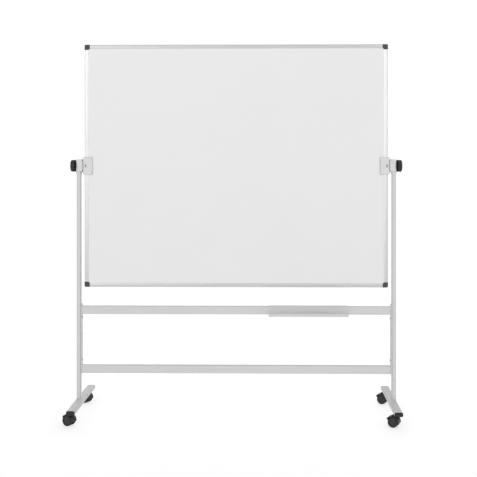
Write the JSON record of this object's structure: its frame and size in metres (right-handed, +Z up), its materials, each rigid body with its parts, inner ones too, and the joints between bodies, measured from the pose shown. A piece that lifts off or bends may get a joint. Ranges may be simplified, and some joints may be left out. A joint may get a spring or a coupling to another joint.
{
  "type": "rolling whiteboard",
  "caption": "Double-sided whiteboard in an aluminium frame that revolves between two posts of a wheeled stand, locked by side knobs, with a sliding pen tray on the upper cross-bar.",
  "frame": {"origin": "on the floor, under the middle of the board", "axes": "+X to the right seen from the front, -Y the front, where the pen tray hangs, +Z up"},
  "size_m": [1.6406, 0.5406, 1.83],
  "materials": {
    "writing_surface": "gloss",
    "board_core": "matte",
    "anodised_rail": "satin",
    "corner_plastic": "matte",
    "grey_plastic": "satin",
    "powder_coat": "satin",
    "plated_steel": "satin",
    "knob_plastic": "matte",
    "castor_plastic": "matte"
  },
  "bodies": {
    "stand": {"post_left": "powder_coat", "post_head_left": "grey_plastic", "foot_left": "powder_coat", "foot_cap_front_left": "castor_plastic", "foot_cap_rear_left": "castor_plastic", "end_plate_left": "powder_coat", "plate_bolt_upper_left": "plated_steel", "plate_bolt_lower_left": "plated_steel", "post_right": "powder_coat", "post_head_right": "grey_plastic", "foot_right": "powder_coat", "foot_cap_front_right": "castor_plastic", "foot_cap_rear_right": "castor_plastic", "end_plate_right": "powder_coat", "plate_bolt_upper_right": "plated_steel", "plate_bolt_lower_right": "plated_steel", "crossbar_upper": "powder_coat", "crossbar_lower": "powder_coat", "castor_front_left_stem": "plated_steel", "castor_front_right_stem": "plated_steel", "castor_rear_left_stem": "plated_steel", "castor_rear_right_stem": "plated_steel"},
    "board": {"writing_sheet_front": "writing_surface", "writing_sheet_back": "writing_surface", "board_core": "board_core", "board_rail_top": "anodised_rail", "board_rail_bottom": "anodised_rail", "board_rail_left": "anodised_rail", "board_rail_right": "anodised_rail", "corner_cap_top_left": "corner_plastic", "corner_cap_top_right": "corner_plastic", "corner_cap_bottom_left": "corner_plastic", "corner_cap_bottom_right": "corner_plastic", "pivot_bracket_left": "grey_plastic", "pivot_bracket_right": "grey_plastic", "pivot_stud_left": "plated_steel", "pivot_stud_right": "plated_steel"},
    "pen_tray": {"pen_tray": "powder_coat"},
    "clamp_knob_left": {"clamp_knob_left": "knob_plastic"},
    "clamp_knob_right": {"clamp_knob_right": "knob_plastic"},
    "castor_front_left": {"castor_front_left_hood": "castor_plastic", "castor_front_left_axle": "plated_steel"},
    "castor_front_left_wheel_front": {"castor_front_left_wheel_front": "castor_plastic"},
    "castor_front_left_wheel_rear": {"castor_front_left_wheel_rear": "castor_plastic"},
    "castor_front_left_brake": {"castor_front_left_brake": "castor_plastic"},
    "castor_front_right": {"castor_front_right_hood": "castor_plastic", "castor_front_right_axle": "plated_steel"},
    "castor_front_right_wheel_front": {"castor_front_right_wheel_front": "castor_plastic"},
    "castor_front_right_wheel_rear": {"castor_front_right_wheel_rear": "castor_plastic"},
    "castor_front_right_brake": {"castor_front_right_brake": "castor_plastic"},
    "castor_rear_left": {"castor_rear_left_hood": "castor_plastic", "castor_rear_left_axle": "plated_steel"},
    "castor_rear_left_wheel_front": {"castor_rear_left_wheel_front": "castor_plastic"},
    "castor_rear_left_wheel_rear": {"castor_rear_left_wheel_rear": "castor_plastic"},
    "castor_rear_left_brake": {"castor_rear_left_brake": "castor_plastic"},
    "castor_rear_right": {"castor_rear_right_hood": "castor_plastic", "castor_rear_right_axle": "plated_steel"},
    "castor_rear_right_wheel_front": {"castor_rear_right_wheel_front": "castor_plastic"},
    "castor_rear_right_wheel_rear": {"castor_rear_right_wheel_rear": "castor_plastic"},
    "castor_rear_right_brake": {"castor_rear_right_brake": "castor_plastic"}
  },
  "joints": [
    {"name": "board_revolve", "type": "hinge", "parent": "stand", "child": "board", "pos_m": [0, 0, 1.23], "axis": [1, 0, 0], "continuous": true},
    {"name": "clamp_knob_left_turn", "type": "hinge", "parent": "board", "child": "clamp_knob_left", "pos_m": [-0.8, 0, 1.23], "axis": [-1, 0, 0], "range_deg": [0, 360]},
    {"name": "clamp_knob_right_turn", "type": "hinge", "parent": "board", "child": "clamp_knob_right", "pos_m": [0.8, 0, 1.23], "axis": [1, 0, 0], "range_deg": [0, 360]},
    {"name": "pen_tray_slide", "type": "slide", "parent": "stand", "child": "pen_tray", "axis": [1, 0, 0], "range_m": [-0.922, 0.21]},
    {"name": "castor_front_left_swivel", "type": "hinge", "parent": "stand", "child": "castor_front_left", "pos_m": [-0.7685, -0.222, 0.0586], "axis": [0, 0, 1], "continuous": true},
    {"name": "castor_front_left_wheel_front_roll", "type": "hinge", "parent": "castor_front_left", "child": "castor_front_left_wheel_front", "pos_m": [-0.78481, -0.21439, 0.025], "axis": [0.4226, 0.9063, 0], "continuous": true},
    {"name": "castor_front_left_wheel_rear_roll", "type": "hinge", "parent": "castor_front_left", "child": "castor_front_left_wheel_rear", "pos_m": [-0.78481, -0.21439, 0.025], "axis": [0.4226, 0.9063, 0], "continuous": true},
    {"name": "castor_front_left_brake_press", "type": "hinge", "parent": "castor_front_left", "child": "castor_front_left_brake", "pos_m": [-0.78934, -0.21228, 0.0546], "axis": [-0.4226, -0.9063, 0], "range_deg": [0, 7]},
    {"name": "castor_front_right_swivel", "type": "hinge", "parent": "stand", "child": "castor_front_right", "pos_m": [0.7685, -0.222, 0.0586], "axis": [0, 0, 1], "continuous": true},
    {"name": "castor_front_right_wheel_front_roll", "type": "hinge", "parent": "castor_front_right", "child": "castor_front_right_wheel_front", "pos_m": [0.75219, -0.21439, 0.025], "axis": [0.4226, 0.9063, 0], "continuous": true},
    {"name": "castor_front_right_wheel_rear_roll", "type": "hinge", "parent": "castor_front_right", "child": "castor_front_right_wheel_rear", "pos_m": [0.75219, -0.21439, 0.025], "axis": [0.4226, 0.9063, 0], "continuous": true},
    {"name": "castor_front_right_brake_press", "type": "hinge", "parent": "castor_front_right", "child": "castor_front_right_brake", "pos_m": [0.74765, -0.21228, 0.0546], "axis": [-0.4226, -0.9063, 0], "range_deg": [0, 7]},
    {"name": "castor_rear_left_swivel", "type": "hinge", "parent": "stand", "child": "castor_rear_left", "pos_m": [-0.7685, 0.222, 0.0586], "axis": [0, 0, 1], "continuous": true},
    {"name": "castor_rear_left_wheel_front_roll", "type": "hinge", "parent": "castor_rear_left", "child": "castor_rear_left_wheel_front", "pos_m": [-0.78481, 0.22961, 0.025], "axis": [0.4226, 0.9063, 0], "continuous": true},
    {"name": "castor_rear_left_wheel_rear_roll", "type": "hinge", "parent": "castor_rear_left", "child": "castor_rear_left_wheel_rear", "pos_m": [-0.78481, 0.22961, 0.025], "axis": [0.4226, 0.9063, 0], "continuous": true},
    {"name": "castor_rear_left_brake_press", "type": "hinge", "parent": "castor_rear_left", "child": "castor_rear_left_brake", "pos_m": [-0.78934, 0.23172, 0.0546], "axis": [-0.4226, -0.9063, 0], "range_deg": [0, 7]},
    {"name": "castor_rear_right_swivel", "type": "hinge", "parent": "stand", "child": "castor_rear_right", "pos_m": [0.7685, 0.222, 0.0586], "axis": [0, 0, 1], "continuous": true},
    {"name": "castor_rear_right_wheel_front_roll", "type": "hinge", "parent": "castor_rear_right", "child": "castor_rear_right_wheel_front", "pos_m": [0.75219, 0.22961, 0.025], "axis": [0.4226, 0.9063, 0], "continuous": true},
    {"name": "castor_rear_right_wheel_rear_roll", "type": "hinge", "parent": "castor_rear_right", "child": "castor_rear_right_wheel_rear", "pos_m": [0.75219, 0.22961, 0.025], "axis": [0.4226, 0.9063, 0], "continuous": true},
    {"name": "castor_rear_right_brake_press", "type": "hinge", "parent": "castor_rear_right", "child": "castor_rear_right_brake", "pos_m": [0.74765, 0.23172, 0.0546], "axis": [-0.4226, -0.9063, 0], "range_deg": [0, 7]}
  ]
}
